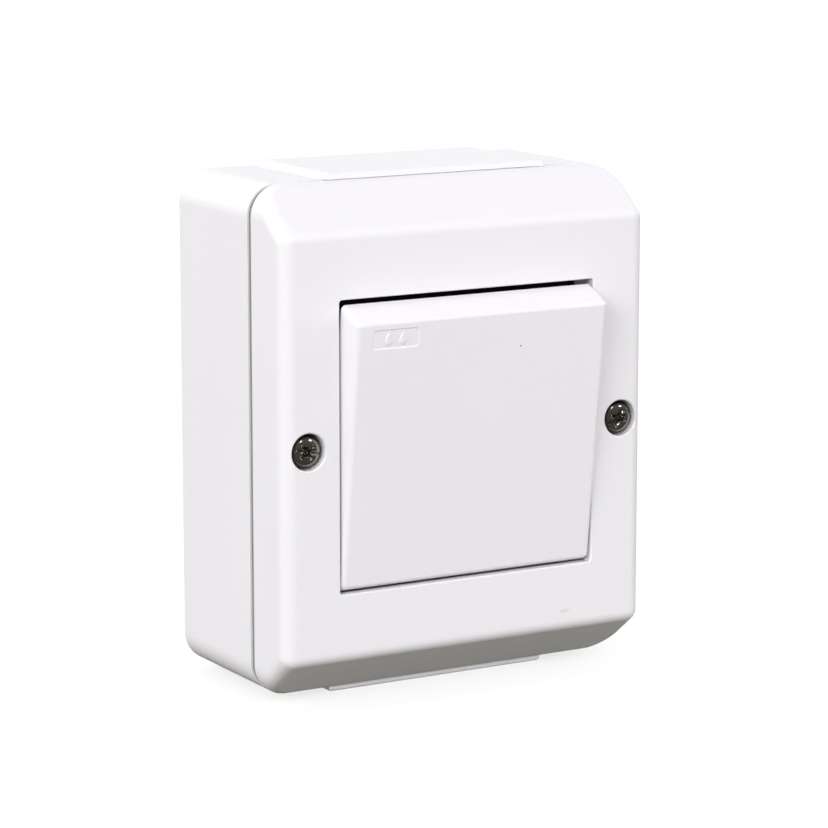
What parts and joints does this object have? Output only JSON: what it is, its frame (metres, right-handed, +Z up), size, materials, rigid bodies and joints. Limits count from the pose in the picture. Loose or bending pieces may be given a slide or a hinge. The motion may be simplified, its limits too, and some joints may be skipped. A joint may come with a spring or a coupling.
{
  "type": "outdoor weatherproof switch",
  "caption": "Surface-mounted weatherproof rocker switch: bevelled cover on a moulded box, with a large square rocker, cable entry plates and a see-saw contact mechanism.",
  "frame": {"origin": "centre of the rear face that sits on the wall", "axes": "+X to the viewer's right, +Z up, +Y into the wall; the front faces -Y"},
  "size_m": [0.0784, 0.0477, 0.0986],
  "materials": {
    "white_plastic": "semi-gloss moulded",
    "rocker_plastic": "semi-gloss moulded",
    "grey_rubber": "matt",
    "dark_rubber": "matt",
    "nickel_steel": "nickel plated",
    "zinc_steel": "bright zinc",
    "brass": "stamped",
    "silver": "satin",
    "dark_plastic": "moulded",
    "grey_plastic": "moulded"
  },
  "bodies": {
    "switch_body": {"rear_housing": "white_plastic", "cable_entry_plate_top": "white_plastic", "cable_entry_plate_bottom": "white_plastic", "housing_gasket": "grey_rubber", "front_cover": "white_plastic", "cover_screws": "nickel_steel", "cover_screw_seals": "dark_rubber", "rocker_seal": "dark_rubber", "fixed_contact_tips": "silver", "fixed_contact_upper": "brass", "fixed_contact_lower": "brass", "common_terminal": "brass", "terminal_clamps": "brass", "terminal_screws": "zinc_steel", "mechanism_base": "dark_plastic", "mechanism_frame": "grey_plastic", "support_frame": "zinc_steel", "support_frame_screws": "zinc_steel"},
    "rocker_and_toggle": {"rocker": "rocker_plastic", "toggle": "grey_plastic", "toggle_spring": "nickel_steel"},
    "plunger": {"spring_plunger": "grey_plastic"},
    "see_saw": {"contact_lever": "brass", "moving_contact_tips": "silver"}
  },
  "joints": [
    {"name": "rocker_tilt", "type": "hinge", "parent": "switch_body", "child": "rocker_and_toggle", "pos_m": [0, -0.0327, 0], "axis": [1, 0, 0], "range_deg": [-13.2, 0]},
    {"name": "plunger_slide", "type": "slide", "parent": "rocker_and_toggle", "child": "plunger", "axis": [0, -0.9934, -0.1149], "range_m": [0, 0.0008], "stiffness_N_per_m": 300, "springref_m": -0.002, "deforming": ["toggle_spring"]},
    {"name": "lever_swing", "type": "hinge", "parent": "switch_body", "child": "see_saw", "pos_m": [0, -0.0185, 0], "axis": [1, 0, 0], "range_deg": [0, 16]}
  ],
  "couplings": [
    {"joint": "lever_swing", "follows": "rocker_tilt", "ratio": -1.2121}
  ]
}
